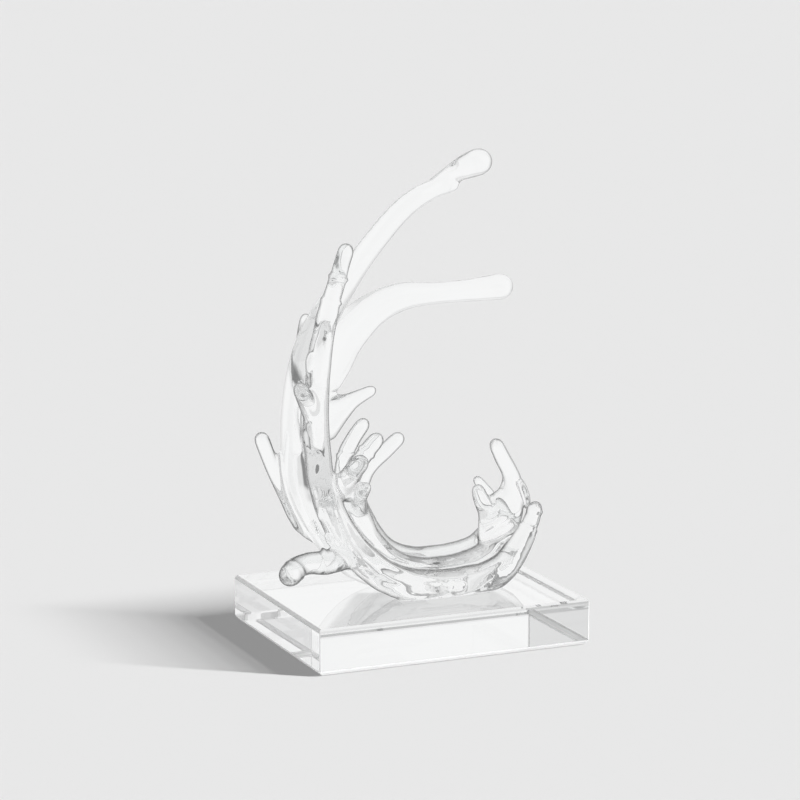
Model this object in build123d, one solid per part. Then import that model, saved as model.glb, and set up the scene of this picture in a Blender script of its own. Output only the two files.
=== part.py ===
from build123d import *
import math
import os

# Clear glass wave splash on a clear crystal block.
# Millimetres, +Z up, origin at the centre of the block's underside.
# X runs along the block's long side and -Y is the viewer's side.

# crystal block
BASE_LENGTH = 100
BASE_WIDTH = 80
BASE_HEIGHT = 16
TOP_CHAMFER = 0.9
FOOT_CHAMFER = 1.3

# film of clear adhesive between the block and the ground foot of the wave
BOND_THICKNESS = 0.2

# A bit of glass is lofted through sections, no further apart than this,
# and at these angles of latitude on the dome that ends it.
SECTION_SPACING = 6
DOME_ANGLES = (35, 62, 80)

# Each bit of glass is given by stations along its middle line:
# x, y, height over the ground foot, half thickness and half depth.
# A single radius stands for both on a round bit.

# broad clear ribbon: from under the trough, up the left flank, to the stub at the very top
TALL_CREST = [
    (8, 4, 3, 3, 8),
    (-6, 4, 3.6, 4.2, 10.5),
    (-19.5, 4, 9, 4.8, 12),
    (-30, 4, 22, 5.2, 12.5),
    (-37.5, 4, 38, 5.4, 13),
    (-39, 4, 55, 5.4, 12.5),
    (-38.5, 3.5, 70, 5.2, 11.5),
    (-36, 3, 84, 5, 9.5),
    (-31, 1.5, 97, 4.6, 7),
    (-24.5, -0.5, 108, 4.2, 5),
    (-18, -2, 117.5, 3.9, 4.2),
    (-11, -3.5, 126.5, 3.9, 3.9),
    (-3, -4.5, 134.5, 3.7, 3.7),
    (6, -5.5, 139.5, 3.3, 3.3),
    (13.5, -6, 140.5, 2.2, 2.2),
]

# nearest rope: right hand, trough, up the left side to the finger beside the crest
FRONT_ROPE = [
    (40, -9.5, 17, 3.9),
    (31.5, -11.5, 6.8, 5),
    (20, -13, 3.4, 5.4),
    (6.5, -13.5, 2.8, 5.6),
    (-7, -13.5, 4.5, 5.6),
    (-18, -13, 10.5, 5.5),
    (-27, -12.5, 19.5, 5.4),
    (-33, -12, 30, 5.1),
    (-37, -12, 41, 4.8),
    (-39, -11.5, 56, 4.7),
    (-39, -11, 70, 4.5),
    (-37.5, -10, 84, 4.1),
    (-34, -8.5, 98.5, 3.7),
    (-30, -7.5, 110, 3.1),
    (-26.5, -7, 120.5, 2.9),
]

# second rope of the trough, which opens into a bunch of fingers at its left end
MIDDLE_ROPE = [
    (39, 1, 15.5, 4.4),
    (29, -2.5, 8.5, 5.2),
    (17, -4, 5.4, 5.5),
    (4, -4, 5.2, 5.6),
    (-8, -4, 9, 5.6),
    (-17, -4, 18, 5.4),
    (-22, -4.5, 29, 5.2),
    (-26, -5.5, 39, 4.6),
]

# far rope of the trough
BACK_ROPE = [
    (38, 9, 17, 4),
    (29, 6.5, 10, 4.8),
    (17, 5, 7.4, 5.2),
    (4, 5, 7.4, 5.3),
    (-7, 5, 11.5, 5.3),
    (-14, 5, 20, 5),
    (-18, 6, 30, 4.5),
]

# Smaller bits grow from one station of the piece that carries them.
# Their stations are measured from that one.
MIDDLE_ARM = ("tall_crest", 7, [
    (2, 4, -5, 11, 4),
    (8, 6, -4, 12, 4.5),
    (15.5, 7.5, 3.8, 8.8, 5),
    (26.5, 7, 12.8, 6.2, 5),
    (37, 6, 16.8, 5, 4.6),
    (49, 5, 17.3, 3.8, 3.8),
    (62, 4, 17.7, 4, 4),
    (73, 3, 18.4, 4.7, 4.7),
])
CREST_DROP = ("tall_crest", 13, [
    (-1, 0, 0.5, 2.4),
    (5, -0.4, 4.2, 2.8),
    (11, -0.5, 6.7, 4.1),
    (17, -0.5, 8.6, 4.8),
])
LEFT_FINGER = ("tall_crest", 3, [
    (-1, 3, -2, 3.6),
    (-6.5, 6, 2, 3.3),
    (-11, 7, 11, 2.9),
    (-16, 8, 22, 2.7),
    (-19.5, 9, 32, 2.8),
])
BACK_KNOB = ("tall_crest", 7, [
    (0, 3, -2, 3.2),
    (1, 7.5, 3, 2.8),
    (3, 10, 10.5, 2.3),
])
WEB_FINGER = ("tall_crest", 6, [
    (4, 2, -10, 9, 3),
    (11, 4, -9, 8.5, 3.2),
    (16, 4.5, -6.5, 5.2, 3),
    (20.5, 4.5, -4, 3, 2.8),
    (27.5, 4.5, -1.2, 2.1, 2.1),
])
FRONT_KNOB = ("front_rope", 10, [
    (-1, -0.5, -5.5, 3.3),
    (-4.9, -3, 1.6, 3),
    (-7.8, -5.6, 6.4, 2.8),
])
FOOT_FINGER = ("front_rope", 6, [
    (-2, 0, -3.2, 4.2),
    (-9.5, 0.5, -4.6, 4.3),
    (-15.5, 1, -4.2, 3.8),
    (-20, 0, -5, 3.9),
    (-23.5, -2.8, -6.6, 4.2),
])
CURL_FINGERS = {
    "tall_curl_finger": ("middle_rope", 7, [
        (-1, 2, 0, 3.2),
        (1.5, 3, 12, 2.9),
        (7.5, 3, 20.5, 2.6),
    ]),
    "front_curl_finger": ("middle_rope", 7, [
        (-1, -3, -1, 3.6),
        (-3.5, -9.5, 5, 3.5),
        (-0.5, -13.5, 11, 3.2),
    ]),
    "middle_curl_finger": ("middle_rope", 7, [
        (0, -1, 0, 3.4),
        (3, -4, 9, 3.1),
        (9, -5, 16.5, 2.9),
    ]),
    "low_curl_stub": ("middle_rope", 6, [
        (0, -2, 0, 2.8),
        (-2, -9, 8, 2.4),
        (-1.5, -12.5, 12, 2.1),
    ]),
    "back_curl_finger": ("back_rope", 6, [
        (0, 0, 0, 3.4),
        (5, 2, 11, 3.1),
        (11.5, 2, 16.5, 2.9),
        (17, 2, 21, 2.7),
    ]),
}
SPLASH_FINGERS = {
    "tall_splash_finger": ("middle_rope", 0, [
        (-5.4, -0.5, -3.2, 6.8, 4.4),
        (-4.4, -0.5, 4.7, 8.2, 4.6),
        (-1.9, 0, 9.5, 7.8, 4.2),
        (1.4, 1.3, 13.9, 5.2, 3.6),
        (1.8, 2.5, 19.4, 3.3, 3),
        (-1.3, 3, 25.6, 3, 2.8),
        (-4, 3, 31, 2.7, 2.7),
    ]),
    "front_splash_finger": ("middle_rope", 0, [
        (-7.1, -0.4, 5.7, 3.6),
        (-8.6, -0.5, 7.9, 3.5),
        (-10.2, -0.6, 10.6, 3.2),
        (-11.7, -0.8, 13.3, 2.9),
        (-12.8, -1, 16.3, 2.5),
    ]),
    "back_splash_finger": ("back_rope", 0, [
        (0, 0, 0, 3),
        (0, 1, 5.5, 2.6),
        (-3, 2, 11, 2.2),
        (-6.5, 3, 15.5, 1.9),
    ]),
    "right_splash_stub": ("front_rope", 0, [
        (0, 0, 0, 3.2),
        (2.5, 0, 5, 3),
        (4, 0.5, 8.8, 2.7),
    ]),
}

FOOT_LEVEL = BASE_HEIGHT + BOND_THICKNESS


def base_block():
    block = Box(BASE_LENGTH, BASE_WIDTH, BASE_HEIGHT, align=(Align.CENTER, Align.CENTER, Align.MIN))
    block = chamfer(block.edges().group_by(Axis.Z)[-1], TOP_CHAMFER)
    block = chamfer(block.edges().group_by(Axis.Z)[0], FOOT_CHAMFER)
    return block


def stations_of(rows, start=Vector(0, 0, FOOT_LEVEL)):
    # place, half thickness and half depth of each station
    return [(start + Vector(*row[:3]), row[3], row[-1]) for row in rows]


def between(a, b, c, d, t):
    # value at the share t of the way from b to c, on a curve that also heeds a and d
    return b + (c - a) * (t / 2) + (a * 2 - b * 5 + c * 4 - d) * (t**2 / 2) + (b * 3 - c * 3 + d - a) * (t**3 / 2)


def smoothed(stations):
    # stations added between the given ones, on a curve that passes through all of them
    ends = stations[:1] + stations + stations[-1:]
    rows = []
    for before, start, stop, after in zip(ends, ends[1:], ends[2:], ends[3:]):
        steps = math.ceil((stop[0] - start[0]).length / SECTION_SPACING)
        for step in range(steps):
            t = step / steps
            rows.append(tuple(between(*values, t) for values in zip(before, start, stop, after)))
    return rows + stations[-1:]


def headings(places):
    # direction of the middle line at each station
    ahead = places[1:] + places[-1:]
    behind = places[:1] + places[:-1]
    return [(b - a).normalized() for a, b in zip(behind, ahead)]


def domed(station, heading):
    # sections that close an end as a dome
    place, thick, deep = station
    dome = []
    for angle in DOME_ANGLES:
        out = heading * (thick * math.sin(math.radians(angle)))
        narrow = math.cos(math.radians(angle))
        dome.append((place + out, thick * narrow, deep * narrow))
    return dome


def strand(rows, dome_start=False):
    # a loft through ellipses that stand square to the middle line
    lines = headings([place for place, _, _ in rows])
    tail = domed(rows[-1], lines[-1])
    head = domed(rows[0], lines[0] * -1)[::-1] if dome_start else []
    lines = lines[:1] * len(head) + lines + lines[-1:] * len(tail)
    side = Vector(0, 1, 0)
    sections = []
    for (place, thick, deep), line in zip(head + rows + tail, lines):
        side = (side - line * side.dot(line)).normalized()
        sections.append(Plane(origin=place, x_dir=side, z_dir=line) * Ellipse(deep, thick))
    return loft(sections, ruled=True)


def ground(body):
    # the foot is ground flat where the wave meets the adhesive
    return split(body, Plane.XY.offset(FOOT_LEVEL), keep=Keep.TOP)


def meet(rows, others):
    # true where two strands come close enough to touch
    return any(
        (a - b).length < max(thick, deep) + max(wide, far) + SECTION_SPACING
        for a, thick, deep in rows
        for b, wide, far in others
    )


def seated(body, carriers):
    # the root takes the exact form of the glass that it is fused to
    for carrier in carriers:
        body = body - carrier
    return max(body.solids(), key=lambda solid: solid.volume)


def bond_film(bodies):
    film = None
    for body in bodies:
        for face in body.faces().filter_by(Plane.XY):
            if abs(face.center().Z - FOOT_LEVEL) < BOND_THICKNESS / 2:
                pad = extrude(face, BOND_THICKNESS, dir=(0, 0, -1))
                film = pad if film is None else film + pad
    return film


def main():
    ropes = {
        "tall_crest": TALL_CREST,
        "front_rope": FRONT_ROPE,
        "middle_rope": MIDDLE_ROPE,
        "back_rope": BACK_ROPE,
    }
    bits = {
        "middle_arm": MIDDLE_ARM,
        "crest_drop": CREST_DROP,
        "left_finger": LEFT_FINGER,
        "back_knob": BACK_KNOB,
        "web_finger": WEB_FINGER,
        "front_knob": FRONT_KNOB,
        "foot_finger": FOOT_FINGER,
        **CURL_FINGERS,
        **SPLASH_FINGERS,
    }
    stations = {name: stations_of(rows) for name, rows in ropes.items()}
    for name, (carrier, index, rows) in bits.items():
        stations[name] = stations_of(rows, stations[carrier][index][0])

    # the four ropes are laid first, then every bit is seated on what is already there
    sections = {}
    pieces = {}
    for name in stations:
        rows = smoothed(stations[name])
        body = strand(rows, dome_start=name in ropes)
        if name in ropes:
            body = ground(body)
        pieces[name] = seated(body, [pieces[other] for other in pieces if meet(rows, sections[other])])
        sections[name] = rows
    pieces["bond_film"] = bond_film([pieces[name] for name in ropes])
    pieces["base_block"] = base_block()

    os.makedirs("parts", exist_ok=True)
    for name, piece in pieces.items():
        piece.label = name
        export_step(piece, f"parts/{name}.step")


main()
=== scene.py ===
import math
import bpy
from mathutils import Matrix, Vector
from mathutils.bvhtree import BVHTree


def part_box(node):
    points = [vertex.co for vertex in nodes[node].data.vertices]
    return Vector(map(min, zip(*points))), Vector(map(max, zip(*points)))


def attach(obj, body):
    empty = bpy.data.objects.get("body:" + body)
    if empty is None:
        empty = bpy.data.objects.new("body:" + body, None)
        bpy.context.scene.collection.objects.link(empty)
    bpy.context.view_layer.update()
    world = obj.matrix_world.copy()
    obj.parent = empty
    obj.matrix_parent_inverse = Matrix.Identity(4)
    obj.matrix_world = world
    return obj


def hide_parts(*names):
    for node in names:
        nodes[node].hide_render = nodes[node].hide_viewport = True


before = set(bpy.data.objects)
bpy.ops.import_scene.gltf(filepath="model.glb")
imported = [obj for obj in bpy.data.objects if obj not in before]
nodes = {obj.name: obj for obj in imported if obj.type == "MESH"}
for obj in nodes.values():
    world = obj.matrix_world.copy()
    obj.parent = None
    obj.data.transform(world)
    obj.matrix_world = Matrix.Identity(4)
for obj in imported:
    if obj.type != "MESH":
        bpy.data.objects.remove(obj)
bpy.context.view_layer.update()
mm = 0.001
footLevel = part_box("bond_film")[1][2]     # ground foot of the wave
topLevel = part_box("base_block")[1][2]     # polished top of the block
mergeReach = 0.002 * mm                   # corners nearer than this are one
softAngle = math.radians(60)              # edges sharper than this stay crisp


def pick(*objs):
    # leave edit mode, then select only these, the last one active
    if bpy.context.object and bpy.context.object.mode != "OBJECT":
        bpy.ops.object.mode_set(mode="OBJECT")
    bpy.ops.object.select_all(action="DESELECT")
    for obj in objs:
        obj.select_set(True)
    bpy.context.view_layer.objects.active = objs[-1]


def editAll(obj):
    pick(obj)
    bpy.ops.object.mode_set(mode="EDIT")
    bpy.ops.mesh.select_all(action="SELECT")


def duplicate(obj, newName):
    twin = bpy.data.objects.new(newName, obj.data.copy())
    twin.data.name = newName
    bpy.context.scene.collection.objects.link(twin)
    return twin


def mergeCorners(obj):
    editAll(obj)
    bpy.ops.mesh.remove_doubles(threshold=mergeReach)
    bpy.ops.object.mode_set(mode="OBJECT")
    return obj


def copyNode(nodeName, newName):
    # a CAD node's mesh as a new object, its loose triangles merged
    return mergeCorners(duplicate(nodes[nodeName], newName))


def joinAs(newName, objs):
    pick(*objs)
    bpy.ops.object.join()
    joined = bpy.context.object
    joined.name = newName
    joined.data.name = newName
    return joined


def settle(obj):
    # put a primitive's place and turn into its mesh
    pick(obj)
    bpy.ops.object.transform_apply(location=True, rotation=True, scale=True)
    return obj


def modify(obj, kind, **settings):
    modifier = obj.modifiers.new(kind, kind)
    for key, value in settings.items():
        setattr(modifier, key, value)
    pick(obj)
    bpy.ops.object.modifier_apply(modifier=modifier.name)


def softShade(obj):
    pick(obj)
    bpy.ops.object.shade_smooth_by_angle(angle=softAngle)


def keepBetween(obj, low, high):
    # keep what lies between two levels, with closed flat cuts
    bpy.ops.mesh.primitive_cube_add(size=1, location=(0, 0, (low + high) / 2))
    slab = bpy.context.object
    slab.scale = (1, 1, high - low)
    settle(slab)
    modify(obj, "BOOLEAN", operation="INTERSECT", solver="MANIFOLD", object=slab)
    bpy.data.objects.remove(slab)


waveForm = {
    "grain": 0.45 * mm,     # edge of the cells the glass is gathered in
    "fillet": 0.5 * mm,     # how far a crease between two strands is filled
    "bodyPolish": 24,       # rounds of smoothing on the strands
    "detailPolish": 9,      # rounds once nubs, rings and ridges are laid on
    "shinePolish": 16,      # further rounds for the way the surface shines
    "plugDepth": 4 * mm,    # foot carried down past the cut
    "filmBite": 0.02 * mm,  # how far the adhesive reaches into the block's polish
    "ceiling": 1,           # metres, well above the wave
}
biteLevel = topLevel - waveForm["filmBite"]

waveNodes = [
    "tall_crest", "front_rope", "middle_rope", "back_rope", "middle_arm", "crest_drop",
    "left_finger", "back_knob", "web_finger", "front_knob", "foot_finger",
    "tall_curl_finger", "front_curl_finger", "middle_curl_finger", "low_curl_stub",
    "back_curl_finger", "tall_splash_finger", "front_splash_finger",
    "back_splash_finger", "right_splash_stub",
]

# uneven swell left in a strand by the tools, as height and length
swells = {
    "front_rope": (1.0 * mm, 9 * mm),
    "middle_rope": (0.6 * mm, 8 * mm),
    "back_rope": (0.6 * mm, 8 * mm),
    "tall_crest": (0.3 * mm, 16 * mm),
}

detailForm = {
    "ringThickness": 0.55 * mm,
    "ringSides": (64, 16),       # round the ring and round its section
    "ridgeThickness": 0.9 * mm,
    "ridgeRounds": 4,            # how finely its section is divided
    "ridgeEnd": 0.3,             # share of the thickness left at its two ends
    "nubRounds": 4,              # how finely a nub is divided
}

# long nubs left by the tools: strand, place, half sizes and direction, in millimetres
nubs = [
    ("front_rope", (-38.2, -10.9, 107.8), (1.7, 1.3, 4.4), (0.4, 0.1, 0.9)),
    ("front_rope", (-40.9, -10.4, 99.8), (1.8, 1.5, 4.6), (0.1, 0.1, 1)),
    ("front_rope", (-42.2, -12.6, 84.0), (1.6, 1.4, 4.0), (0.35, 0, 0.95)),
    ("front_rope", (-41.4, -14.0, 77.3), (1.6, 1.5, 5.0), (-0.1, 0, 1)),
    ("front_rope", (-40.6, -14.5, 66.7), (1.6, 1.2, 5.0), (0.2, 0, 0.97)),
    ("front_rope", (-39.5, -14.3, 56.3), (1.7, 1.4, 4.6), (-0.3, 0, 0.95)),
    ("front_rope", (-38.1, -13.6, 49.1), (1.4, 1.9, 3.2), (-0.05, 0, 1)),
    ("front_rope", (-34.6, -12.8, 39.2), (1.4, 1.9, 3.4), (-0.5, 0, 0.85)),
    ("front_rope", (-29.3, -13.2, 31.1), (1.6, 2.2, 4.0), (-0.75, 0, 0.65)),
    ("foot_finger", (-41.5, -14.4, 30.3), (2.0, 1.3, 1.2), (0, 0, 1)),
    ("tall_crest", (3.9, -7.9, 156.6), (1.4, 1.2, 3.6), (0.95, 0, 0.35)),
    ("tall_crest", (10.4, -7.9, 157.2), (1.4, 1.3, 2.4), (0.3, 0, 0.95)),
]

# rings where one gather of glass was laid over another:
# strand, place, direction and radius, in millimetres
gatherRings = [
    ("front_rope", (-29.4, -7.4, 127.9), (0.32, 0.05, 0.95), 3.1),
    ("front_rope", (-32.2, -8.0, 120.2), (0.32, 0.08, 0.94), 3.4),
    ("tall_curl_finger", (-25.0, -2.7, 65.1), (0.24, 0.07, 0.97), 3.0),
    ("foot_finger", (-36.2, -11.3, 32.0), (-0.98, 0.14, -0.16), 3.9),
    ("foot_finger", (-48.6, -13.9, 30.0), (-0.75, -0.55, -0.36), 3.8),
    ("right_splash_stub", (41.0, -9.5, 35.3), (0.45, 0, 0.89), 3.2),
    ("right_splash_stub", (43.7, -9.1, 41.3), (0.36, 0.1, 0.93), 2.7),
    ("front_curl_finger", (-20.3, -10.1, 67.9), (0.6, -0.12, 0.79), 3.0),
    ("middle_curl_finger", (-28.1, -10.7, 56.2), (-0.34, -0.71, 0.62), 3.6),
]

# ridges drawn along a strand: strand and points in millimetres
ridges = [
    ("front_rope", [(-27.9, -14.9, 45.0), (-24.9, -16.4, 38.1), (-19.8, -16.5, 32.7),
                    (-13.1, -16.3, 28.0), (-5.3, -16.6, 24.3), (3.6, -17.5, 22.3),
                    (13.1, -17.5, 21.7), (22.4, -16.2, 23.2), (30.4, -13.8, 26.9)]),
    ("middle_rope", [(-22.4, -9.4, 46.2), (-19.6, -9.1, 40.4), (-15.8, -8.8, 34.6),
                     (-10.5, -8.6, 30.0), (-3.5, -8.0, 26.6), (4.9, -7.9, 24.5),
                     (13.6, -8.0, 24.4), (21.5, -7.3, 25.6), (28.8, -5.7, 28.1)]),
    ("front_rope", [(-35.5, -16.5, 54.0), (-33.0, -16.7, 46.8), (-29.7, -17.2, 38.7),
                    (-25.4, -17.6, 32.4), (-19.0, -18.0, 26.9), (-11.0, -18.5, 22.7),
                    (-0.7, -18.8, 19.2)]),
]

# creases pressed into a strand, as points in millimetres
creases = [
    [(42.5, -2.0, 40.2), (39.9, -3.2, 38.6), (36.8, -4.1, 37.3), (33.9, -4.4, 35.8),
     (31.4, -4.0, 34.9), (29.4, -3.4, 33.9), (27.4, -1.9, 32.7)],
]

# thin fins along a strand: strand, place, half sizes and direction, in millimetres
fins = [
    ("tall_splash_finger", (44.6, 3.0, 45.0), (4.4, 2.0, 6.4), (-0.3, 0, 0.95)),
]

# dents left by the tools: place, half sizes and direction, in millimetres
dents = [
    ((11.8, -8.3, 164.2), (2.3, 2.3, 2.8), (0.9, 0, 0.45)),
    ((31.0, -2.0, 44.6), (1.1, 1.3, 3.0), (0.23, -0.65, -0.72)),
]


def swell(obj, height, length):
    ripple = bpy.data.textures.new(obj.name + "_swell", "CLOUDS")
    ripple.noise_scale = length
    ripple.noise_depth = 1
    modify(obj, "REMESH", mode="VOXEL", voxel_size=waveForm["grain"])
    modify(obj, "DISPLACE", texture=ripple, strength=height, mid_level=0.5, texture_coords="LOCAL")


def ring(place, along, radius):
    turn = Vector(along).to_track_quat("Z", "Y").to_euler()
    around, across = detailForm["ringSides"]
    bpy.ops.mesh.primitive_torus_add(major_radius=radius * mm, minor_radius=detailForm["ringThickness"],
                                     major_segments=around, minor_segments=across,
                                     location=Vector(place) * mm, rotation=turn)
    return settle(bpy.context.object)


def nub(place, halfSizes, along):
    # a long drop of glass, used for nubs and fins, and as the tool that presses a dent
    turn = Vector(along).to_track_quat("Z", "Y").to_euler()
    bpy.ops.mesh.primitive_ico_sphere_add(subdivisions=detailForm["nubRounds"], radius=1,
                                          location=Vector(place) * mm, rotation=turn)
    bpy.context.object.scale = Vector(halfSizes) * mm
    return settle(bpy.context.object)


def ridge(points):
    # a thread drawn out at both ends, laid on as a ridge or pressed in as a crease
    path = bpy.data.curves.new("ridge", "CURVE")
    path.dimensions = "3D"
    path.bevel_depth = detailForm["ridgeThickness"]
    path.bevel_resolution = detailForm["ridgeRounds"]
    path.use_fill_caps = True
    line = path.splines.new("NURBS")
    line.points.add(len(points) - 1)
    for spot, place in zip(line.points, points):
        spot.co = (place[0] * mm, place[1] * mm, place[2] * mm, 1)
    for end in (line.points[0], line.points[-1]):
        end.radius = detailForm["ridgeEnd"]
    line.order_u = 4
    line.use_endpoint_u = True
    obj = bpy.data.objects.new("ridge", path)
    bpy.context.scene.collection.objects.link(obj)
    pick(obj)
    bpy.ops.object.convert(target="MESH")
    return mergeCorners(obj)


def buildDetails():
    # nubs, rings, ridges and fins, by the strand that carries them
    details = {name: [] for name in waveNodes}
    for owner, place, along, radius in gatherRings:
        details[owner].append(ring(place, along, radius))
    for owner, points in ridges:
        details[owner].append(ridge(points))
    for owner, place, halfSizes, along in nubs + fins:
        details[owner].append(nub(place, halfSizes, along))
    return details


def buildWave():
    # all strands run together as hot glass does, and how far each of them reaches
    details = buildDetails()
    strands = []
    reaches = {}
    for name in waveNodes:
        strand = copyNode(name, "raw_" + name)
        if name in swells:
            swell(strand, *swells[name])
        twins = [duplicate(bit, "twin") for bit in details[name] + [strand]]
        reaches[name] = joinAs("reach_" + name, twins)
        strands.append(strand)
    wave = joinAs("wave", strands)
    modify(wave, "REMESH", mode="VOXEL", voxel_size=waveForm["grain"])
    modify(wave, "DISPLACE", strength=waveForm["fillet"], mid_level=0)
    modify(wave, "REMESH", mode="VOXEL", voxel_size=waveForm["grain"])
    modify(wave, "DISPLACE", strength=-waveForm["fillet"], mid_level=0)
    modify(wave, "SMOOTH", factor=0.5, iterations=waveForm["bodyPolish"])
    plug = copyNode("bond_film", "plug")
    filmMiddle = (footLevel + topLevel) / 2
    for vertex in plug.data.vertices:
        if vertex.co.z < filmMiddle:
            vertex.co.z -= waveForm["plugDepth"]
    bits = [bit for name in waveNodes for bit in details[name]]
    wave = joinAs("wave", bits + [plug, wave])
    modify(wave, "REMESH", mode="VOXEL", voxel_size=waveForm["grain"])
    for tool in [nub(*dent) for dent in dents] + [ridge(crease) for crease in creases]:
        modify(wave, "BOOLEAN", operation="DIFFERENCE", solver="MANIFOLD", object=tool)
        bpy.data.objects.remove(tool)
    modify(wave, "SMOOTH", factor=0.5, iterations=waveForm["detailPolish"])
    film = duplicate(wave, "adhesive_film")
    keepBetween(film, biteLevel, footLevel)
    keepBetween(wave, footLevel, waveForm["ceiling"])
    softShade(wave)
    softShade(film)
    print("wave", len(wave.data.polygons), "faces, film", len(film.data.polygons), "faces")
    return wave, film, reaches


partForm = {
    "grain": 0.6 * mm,         # edge of the cells that part the strands
    "fingerReach": 0.4 * mm,   # how far round a finger its own glass is taken to go
    "ropeReach": 0.9 * mm,     # the same round a rope
    "skin": 0.02 * mm,         # a face this near the wave's surface is outside
    "sameWay": 0.5,            # and faces as that surface does, by this much at least
    "level": 0.99,             # upright share of a level face's normal
    "levelReach": 0.005 * mm,  # how near a level a bonded face lies
}
ropeNodes = ["front_rope", "back_rope", "middle_rope"]
lastNode = "tall_crest"


def skinOf(obj):
    return BVHTree.FromPolygons([spot.co for spot in obj.data.vertices],
                                [face.vertices for face in obj.data.polygons])


def looseBits(piece, newName):
    # the largest part of a piece, and whatever is not joined to it
    pick(piece)
    bpy.ops.mesh.separate(type="LOOSE")
    bits = sorted(bpy.context.selected_objects, key=lambda bit: len(bit.data.polygons))
    largest = bits.pop()
    for bit in bits:
        bit.name = "bit"
    largest.name = newName
    largest.data.name = newName
    return largest, bits


def returnStrays(pieces):
    # bits cut off from their own strand go to the strand they touch most
    strays = []
    for name, piece in pieces.items():
        pieces[name], bits = looseBits(piece, name + "_glass")
        strays.extend(bits)
    skins = {name: skinOf(piece) for name, piece in pieces.items()}
    for stray in strays:
        touching = {name: 0 for name in pieces}
        for spot in stray.data.vertices:
            for name, skin in skins.items():
                if skin.find_nearest(spot.co, partForm["skin"])[0]:
                    touching[name] += 1
        owner = max(touching, key=touching.get)
        modify(pieces[owner], "BOOLEAN", operation="UNION", solver="MANIFOLD", object=stray)
        bpy.data.objects.remove(stray)
    print("strays returned", len(strays))
    for name, piece in pieces.items():
        pieces[name], crumbs = looseBits(piece, name + "_glass")
        for crumb in crumbs:
            bpy.data.objects.remove(crumb)


def partWave(wave, reaches):
    # one closed piece for each strand, smallest strands first
    whole = duplicate(wave, "whole")
    shine = duplicate(wave, "shine")
    modify(shine, "SMOOTH", factor=0.5, iterations=waveForm["shinePolish"])
    modify(whole, "DATA_TRANSFER", object=shine, use_loop_data=True,
           data_types_loops={"CUSTOM_NORMAL"}, loop_mapping="TOPOLOGY")
    bpy.data.objects.remove(shine)
    fingers = [name for name in reversed(waveNodes) if name not in ropeNodes + [lastNode]]
    pieces = {}
    for name in fingers + ropeNodes:
        reach = reaches[name]
        margin = partForm["ropeReach"] if name in ropeNodes else partForm["fingerReach"]
        modify(reach, "REMESH", mode="VOXEL", voxel_size=partForm["grain"])
        modify(reach, "DISPLACE", strength=margin, mid_level=0)
        modify(reach, "REMESH", mode="VOXEL", voxel_size=partForm["grain"])
        pieces[name] = duplicate(wave, name + "_glass")
        modify(pieces[name], "BOOLEAN", operation="INTERSECT", solver="MANIFOLD", object=reach)
        modify(wave, "BOOLEAN", operation="DIFFERENCE", solver="MANIFOLD", object=reach)
    pieces[lastNode] = wave
    for reach in reaches.values():
        bpy.data.objects.remove(reach)
    returnStrays(pieces)
    for piece in pieces.values():
        softShade(piece)
        modify(piece, "DATA_TRANSFER", object=whole, use_loop_data=True,
               data_types_loops={"CUSTOM_NORMAL"}, loop_mapping="POLYINTERP_NEAREST",
               use_max_distance=True, max_distance=partForm["skin"])
        print(piece.name, len(piece.data.polygons), "faces")
    skin = skinOf(whole)
    bpy.data.objects.remove(whole)
    return pieces, skin


blockForm = {
    "arris": 0.35 * mm,               # flat ground along the upright edges
    "flatAngle": math.radians(1),     # faces that differ by less are one
    "upright": 0.01 * mm,             # an upright edge leans by less than this
    "square": 0.95,                   # a face whose normal keeps less to one axis is a bevel
    "polished": -0.3,                 # slant of the two long bevels that are left polished
}


def buildBlock(film):
    block = copyNode("base_block", "crystal_block")
    editAll(block)
    bpy.ops.mesh.dissolve_limited(angle_limit=blockForm["flatAngle"])
    bpy.ops.mesh.select_all(action="DESELECT")
    bpy.ops.object.mode_set(mode="OBJECT")
    spots = block.data.vertices
    for edge in block.data.edges:
        low, high = (spots[index].co for index in edge.vertices)
        edge.select = (high - low).xy.length < blockForm["upright"]
    bpy.ops.object.mode_set(mode="EDIT")
    bpy.ops.mesh.select_mode(type="EDGE")
    bpy.ops.mesh.bevel(offset=blockForm["arris"], segments=1)
    bpy.ops.object.mode_set(mode="OBJECT")
    modify(block, "BOOLEAN", operation="DIFFERENCE", solver="MANIFOLD", object=film)
    pick(block)
    bpy.ops.object.shade_flat()
    print("block", len(block.data.polygons), "faces")
    return block


def addNode(tree, kind, **values):
    node = tree.nodes.new(kind)
    for key, value in values.items():
        if key in node.inputs:
            node.inputs[key].default_value = value
        else:
            setattr(node, key, value)
    return node


def newMaterial(name):
    material = bpy.data.materials.new(name)
    material.use_nodes = True
    material.node_tree.nodes.clear()
    return material, material.node_tree


def showShader(tree, shader, kind="ShaderNodeOutputMaterial"):
    out = addNode(tree, kind)
    tree.links.new(shader.outputs[0], out.inputs["Surface"])


glassTint = (0.985, 0.99, 0.99, 1)
cordScale = 60.0    # streaks in a metre


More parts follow.
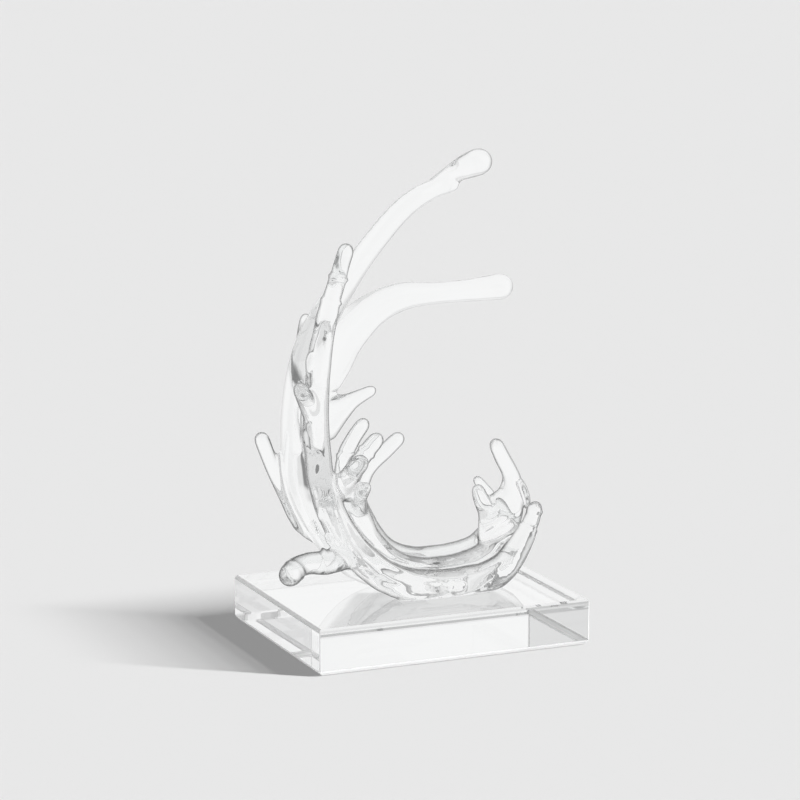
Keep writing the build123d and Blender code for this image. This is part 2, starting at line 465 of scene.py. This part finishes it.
def clearGlass(name, index, paintedRim=None, ripple=None, cords=None):
    # painted rim: the edge darkened in the glass's colour, a painted shade standing in for the dark
    # room seen through the edges; facing at which it starts to darken, facing at which it is darkest,
    # its shade
    # ripple: height and length of the slow unevenness of the polish
    # cords: colour of faint streaks of denser glass
    material, tree = newMaterial(name)
    links = tree.links
    glass = addNode(tree, "ShaderNodeBsdfPrincipled", Roughness=0.0, IOR=index)
    glass.inputs["Transmission Weight"].default_value = 1.0
    glass.inputs["Base Color"].default_value = glassTint
    where = addNode(tree, "ShaderNodeTexCoord")
    if paintedRim:
        # painted shade: the glass's colour darkens toward its edges, as the dark room seen through them
        # would
        start, end, shade = paintedRim
        edge = addNode(tree, "ShaderNodeLayerWeight", Blend=0.5)
        paintedRimShade = addNode(tree, "ShaderNodeValToRGB")
        paintedRimShade.color_ramp.elements[0].position = start
        paintedRimShade.color_ramp.elements[0].color = glassTint
        paintedRimShade.color_ramp.elements[1].position = end
        paintedRimShade.color_ramp.elements[1].color = (shade, shade, shade, 1)
        links.new(edge.outputs["Facing"], paintedRimShade.inputs[0])
        links.new(paintedRimShade.outputs[0], glass.inputs["Base Color"])
    if ripple:
        height, length = ripple
        slow = addNode(tree, "ShaderNodeTexNoise", Scale=1 / length, Detail=1.0)
        uneven = addNode(tree, "ShaderNodeBump", Strength=1.0, Distance=height)
        links.new(where.outputs["Object"], slow.inputs["Vector"])
        links.new(slow.outputs[0], uneven.inputs["Height"])
        links.new(uneven.outputs[0], glass.inputs["Normal"])
    if cords:
        streak = addNode(tree, "ShaderNodeTexNoise", Scale=cordScale, Detail=2.0)
        streakTint = addNode(tree, "ShaderNodeValToRGB")
        streakTint.color_ramp.elements[0].color = glassTint
        streakTint.color_ramp.elements[1].color = cords
        links.new(where.outputs["Object"], streak.inputs["Vector"])
        links.new(streak.outputs[0], streakTint.inputs[0])
        links.new(streakTint.outputs[0], glass.inputs["Base Color"])
    showShader(tree, glass)
    return material


groundFinish = {
    "index": 1.5,
    "clear": 0.5,           # share of the light let through
    "grit": 900.0,          # grains in a metre
    "rough": (0.24, 0.36),
}


def groundEdge():
    # fine ground bevel, a little uneven
    material, tree = newMaterial("ground_edge")
    links = tree.links
    glass = addNode(tree, "ShaderNodeBsdfPrincipled", IOR=groundFinish["index"])
    glass.inputs["Transmission Weight"].default_value = groundFinish["clear"]
    glass.inputs["Base Color"].default_value = glassTint
    where = addNode(tree, "ShaderNodeTexCoord")
    grit = addNode(tree, "ShaderNodeTexNoise", Scale=groundFinish["grit"], Detail=3.0)
    rough = addNode(tree, "ShaderNodeMapRange")
    finest, coarsest = groundFinish["rough"]
    rough.inputs["To Min"].default_value = finest
    rough.inputs["To Max"].default_value = coarsest
    links.new(where.outputs["Object"], grit.inputs["Vector"])
    links.new(grit.outputs[0], rough.inputs["Value"])
    links.new(rough.outputs[0], glass.inputs["Roughness"])
    showShader(tree, glass)
    return material


def bondedSeam():
    # glass fused or bonded to glass: light goes straight on
    material, tree = newMaterial("bonded_seam")
    showShader(tree, addNode(tree, "ShaderNodeBsdfTransparent"))
    return material


def dress(obj, *materials):
    obj.data.materials.clear()
    for material in materials:
        obj.data.materials.append(material)


def bondFaces(obj, levels):
    # level faces at these heights are bonded
    for face in obj.data.polygons:
        near = any(abs(face.center.z - level) < partForm["levelReach"] for level in levels)
        if near and abs(face.normal.z) > partForm["level"]:
            face.material_index = 1


def fuseFaces(obj, skin):
    # faces inside the wave, where two strands run together
    for face in obj.data.polygons:
        _, normal, _, distance = skin.find_nearest(face.center)
        if distance > partForm["skin"] or normal.dot(face.normal) < partForm["sameWay"]:
            face.material_index = 1


def groundFaces(obj):
    # bevels are ground, but for the front one of the top and the far one of the foot
    for face in obj.data.polygons:
        square = max(abs(part) for part in face.normal)
        slant = face.normal.y * face.normal.z
        if square < blockForm["square"] and slant > blockForm["polished"]:
            face.material_index = 2


wave, film, reaches = buildWave()
block = buildBlock(film)
pieces, skin = partWave(wave, reaches)

# each rim darkens the glass's colour at its edges: painted shade
rodGlass = clearGlass("clear_glass", 1.5, paintedRim=(0.34, 0.7, 0.02), ripple=(0.06 * mm, 6 * mm))
broadGlass = clearGlass("clear_glass_broad", 1.42, paintedRim=(0.7, 0.95, 0.03), ripple=(0.02 * mm, 12 * mm))
ropeGlass = clearGlass("clear_glass_rope", 1.5, paintedRim=(0.36, 0.72, 0.02), ripple=(0.22 * mm, 5 * mm))
dropGlass = clearGlass("clear_glass_drop", 1.45, paintedRim=(0.5, 0.84, 0.03), ripple=(0.02 * mm, 8 * mm))
boldGlass = clearGlass("clear_glass_bold", 1.5, paintedRim=(0.22, 0.6, 0.02), ripple=(0.03 * mm, 5 * mm))
crystal = clearGlass("crystal_block", 1.54, cords=(0.98, 0.986, 0.986, 1))
adhesive = clearGlass("clear_adhesive", 1.5, cords=(0.95, 0.96, 0.96, 1))
ground = groundEdge()
seam = bondedSeam()

# strands that are not plain rods
ownGlass = {"tall_crest": broadGlass, "middle_arm": broadGlass, "crest_drop": dropGlass,
            "foot_finger": boldGlass, "front_rope": ropeGlass}

for name, piece in pieces.items():
    dress(piece, ownGlass.get(name, rodGlass), seam)
    fuseFaces(piece, skin)
    bondFaces(piece, [footLevel])
    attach(piece, "root")
    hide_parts(name)
    piece.visible_diffuse = False    # the floor takes its light from the room alone
    piece.visible_shadow = False     # and clear strands throw no shadow on it

dress(film, adhesive, seam)
bondFaces(film, [footLevel, biteLevel])
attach(film, "root")
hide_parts("bond_film")
film.visible_diffuse = False
film.visible_shadow = False

dress(block, crystal, seam, ground)
bondFaces(block, [biteLevel])
groundFaces(block)
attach(block, "root")
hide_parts("base_block")
block.visible_diffuse = False
print("glass on", len(pieces), "strands, film and block")

studio = {
    "paper": 0.8,          # floor colour
    "shown": 0.807,        # what the camera sees of an unshaded floor
    "facing": -23.5,       # degrees the camera stands round from the front
    "floorSize": 60,       # metres
    "floorGap": 0.2 * mm,  # floor below the foot of the block
    "underBlock": 0.92,    # floor below and close to the block
    "nearFloor": 95 * mm,  # from here on the floor takes the shade of the room
    "farFloor": 150 * mm,
    "keyShare": 0.64,      # of the light on the floor
    "keyHeights": (12, 15, 19, 24, 30, 37, 46),
    "keySide": 77,         # degrees, from the camera's own side round to the right
    "keyAngle": 4,         # degrees across one lamp
}

# shade of the wave on the floor below the block: how deep and how soft, and for each edge
# a point on it and the way in, in millimetres
underShade = {
    "depth": 0.35,
    "soft": 3,
    "edges": [((-44, -27), (0.82, -0.57)), ((32, -28), (-1, 0)), ((9, 5), (-0.35, -0.94))],
}

# what the glass shows of the room, from the camera's side (0) to behind the object (1)
roomStops = [(0, 0.4), (0.07, 0.42), (0.15, 0.76), (0.5, 0.86), (0.62, 0.8), (0.66, 0.22),
             (0.74, 0.22), (0.8, 0.7), (0.85, 0.78), (0.93, 0.95)]
floorStops = [(0, 0.72), (0.4, 0.78), (0.62, 0.76), (0.66, 0.22), (0.74, 0.22), (0.8, 0.78),
              (0.93, 0.95)]

# and from level (0) to straight overhead (1)
riseStops = [(0, 1), (0.4, 1), (0.5, 0.8), (0.62, 0.95), (0.8, 0.7), (0.95, 0.55)]


def setStops(ramp, stops):
    while len(ramp.color_ramp.elements) < len(stops):
        ramp.color_ramp.elements.new(0.5)
    for element, (place, shade) in zip(ramp.color_ramp.elements, stops):
        element.position = place
        element.color = (shade, shade, shade, 1)


def roomShade(tree, direction, stops):
    away = math.radians(studio["facing"])
    level = addNode(tree, "ShaderNodeVectorMath", operation="MULTIPLY")
    level.inputs[1].default_value = (1, 1, 0)
    heading = addNode(tree, "ShaderNodeVectorMath", operation="NORMALIZE")
    along = addNode(tree, "ShaderNodeVectorMath", operation="DOT_PRODUCT")
    along.inputs[1].default_value = (-math.sin(away), math.cos(away), 0)
    share = addNode(tree, "ShaderNodeMapRange")
    share.inputs["From Min"].default_value = -1
    ramp = addNode(tree, "ShaderNodeValToRGB")
    setStops(ramp, stops)
    tree.links.new(direction, level.inputs[0])
    tree.links.new(level.outputs[0], heading.inputs[0])
    tree.links.new(heading.outputs[0], along.inputs[0])
    tree.links.new(along.outputs["Value"], share.inputs["Value"])
    tree.links.new(share.outputs[0], ramp.inputs[0])
    return ramp.outputs[0]


def belowBlock(tree, place):
    # floor seen through the block, darker inside all the edges of the wave's shade
    inside = None
    for point, inward in underShade["edges"]:
        start = (point[0] * inward[0] + point[1] * inward[1]) * mm
        across = addNode(tree, "ShaderNodeVectorMath", operation="DOT_PRODUCT")
        across.inputs[1].default_value = inward + (0,)
        step = addNode(tree, "ShaderNodeMapRange", interpolation_type="SMOOTHSTEP")
        step.inputs["From Min"].default_value = start
        step.inputs["From Max"].default_value = start + underShade["soft"] * mm
        tree.links.new(place, across.inputs[0])
        tree.links.new(across.outputs["Value"], step.inputs["Value"])
        if inside is None:
            inside = step.outputs[0]
        else:
            within = addNode(tree, "ShaderNodeMath", operation="MULTIPLY")
            tree.links.new(inside, within.inputs[0])
            tree.links.new(step.outputs[0], within.inputs[1])
            inside = within.outputs[0]
    lit = studio["underBlock"]
    dim = lit * (1 - underShade["depth"])
    shade = addNode(tree, "ShaderNodeValToRGB")
    setStops(shade, [(0, lit), (1, dim)])
    tree.links.new(inside, shade.inputs[0])
    return shade.outputs[0]


def throughGlass(tree):
    # 1 for a ray that glass has bent or thrown back
    ray = addNode(tree, "ShaderNodeLightPath")
    either = addNode(tree, "ShaderNodeMath", operation="MAXIMUM")
    tree.links.new(ray.outputs["Is Glossy Ray"], either.inputs[0])
    tree.links.new(ray.outputs["Is Transmission Ray"], either.inputs[1])
    return either.outputs[0]


def eitherShader(tree, choice, first, second):
    mix = addNode(tree, "ShaderNodeMixShader")
    tree.links.new(choice, mix.inputs[0])
    tree.links.new(first.outputs[0], mix.inputs[1])
    tree.links.new(second.outputs[0], mix.inputs[2])
    return mix


def buildFloor():
    bpy.ops.mesh.primitive_plane_add(size=studio["floorSize"], location=(0, 0, 0))
    floor = bpy.context.object
    floor.name = "floor"
    editAll(floor)
    bpy.ops.transform.translate(value=(0, 0, -studio["floorGap"]))
    bpy.ops.object.mode_set(mode="OBJECT")
    material, tree = newMaterial("floor_paper")
    links = tree.links
    paper = addNode(tree, "ShaderNodeBsdfDiffuse", Color=(studio["paper"],) * 3 + (1,))
    where = addNode(tree, "ShaderNodeTexCoord")
    glow = addNode(tree, "ShaderNodeEmission", Strength=1)
    away = addNode(tree, "ShaderNodeVectorMath", operation="LENGTH")
    links.new(where.outputs["Object"], away.inputs[0])
    far = addNode(tree, "ShaderNodeMapRange", interpolation_type="SMOOTHSTEP")
    far.inputs["From Min"].default_value = studio["nearFloor"]
    far.inputs["From Max"].default_value = studio["farFloor"]
    links.new(away.outputs["Value"], far.inputs["Value"])
    spread = addNode(tree, "ShaderNodeMix", data_type="RGBA")
    links.new(belowBlock(tree, where.outputs["Object"]), spread.inputs["A"])
    links.new(far.outputs[0], spread.inputs["Factor"])
    links.new(roomShade(tree, where.outputs["Object"], floorStops), spread.inputs["B"])
    links.new(spread.outputs["Result"], glow.inputs["Color"])
    showShader(tree, eitherShader(tree, throughGlass(tree), paper, glow))
    dress(floor, material)


def buildRoom():
    world = bpy.data.worlds.new("studio")
    bpy.context.scene.world = world
    world.use_nodes = True
    tree = world.node_tree
    tree.nodes.clear()
    fill = studio["shown"] / studio["paper"] * (1 - studio["keyShare"])
    plain = addNode(tree, "ShaderNodeBackground", Strength=fill)
    seen = addNode(tree, "ShaderNodeBackground", Strength=studio["shown"])
    room = addNode(tree, "ShaderNodeBackground", Strength=1)
    for shade in (plain, seen):
        shade.inputs["Color"].default_value = (1, 1, 1, 1)
    where = addNode(tree, "ShaderNodeTexCoord")
    upright = addNode(tree, "ShaderNodeSeparateXYZ")
    tree.links.new(where.outputs["Generated"], upright.inputs[0])
    rise = addNode(tree, "ShaderNodeValToRGB")
    setStops(rise, riseStops)
    tree.links.new(upright.outputs["Z"], rise.inputs[0])
    both = addNode(tree, "ShaderNodeMix", data_type="RGBA", blend_type="MULTIPLY")
    both.inputs["Factor"].default_value = 1
    tree.links.new(roomShade(tree, where.outputs["Generated"], roomStops), both.inputs["A"])
    tree.links.new(rise.outputs[0], both.inputs["B"])
    tree.links.new(both.outputs["Result"], room.inputs["Color"])
    ray = addNode(tree, "ShaderNodeLightPath")
    indirect = eitherShader(tree, throughGlass(tree), plain, room)
    direct = eitherShader(tree, ray.outputs["Is Camera Ray"], indirect, seen)
    showShader(tree, direct, "ShaderNodeOutputWorld")


def buildKey():
    # a tall narrow key light, as a stack of lamps one above the other
    side = math.radians(studio["keySide"] + studio["facing"])
    onFloor = math.pi * studio["shown"] / studio["paper"] * studio["keyShare"]
    flat = onFloor / len(studio["keyHeights"])
    for degrees in studio["keyHeights"]:
        height = math.radians(degrees)
        toKey = Vector((math.sin(side) * math.cos(height), -math.cos(side) * math.cos(height),
                        math.sin(height)))
        bpy.ops.object.light_add(type="SUN", rotation=toKey.to_track_quat("Z", "Y").to_euler())
        key = bpy.context.object
        key.name = "key_" + str(degrees)
        key.data.angle = math.radians(studio["keyAngle"])
        key.data.energy = flat / math.sin(height)
        key.visible_glossy = False
        key.visible_transmission = False
    print("studio with", len(studio["keyHeights"]), "lamps")


buildFloor()
buildRoom()
buildKey()

cameraSet = {
    "place": (-433.02 * mm, -989.06 * mm, 298.64 * mm),
    "aim": (4.36 * mm, 18.27 * mm, 78.66 * mm),
    "lens": 144.03,
    "film": 36,             # width of the picture in the camera
    "bounces": 96,          # light inside the glass
    "clearBounces": 128,    # light across fused seams
}
place = Vector(cameraSet["place"])
turn = (Vector(cameraSet["aim"]) - place).to_track_quat("-Z", "Y").to_euler()
bpy.ops.object.camera_add(location=place, rotation=turn)
camera = bpy.context.object
camera.data.lens = cameraSet["lens"]
camera.data.sensor_width = cameraSet["film"]
scene = bpy.context.scene
scene.camera = camera
scene.view_settings.view_transform = "Standard"
scene.cycles.max_bounces = cameraSet["bounces"]
scene.cycles.transmission_bounces = cameraSet["bounces"]
scene.cycles.glossy_bounces = cameraSet["bounces"]
scene.cycles.transparent_max_bounces = cameraSet["clearBounces"]
scene.cycles.caustics_refractive = False
scene.cycles.caustics_reflective = False
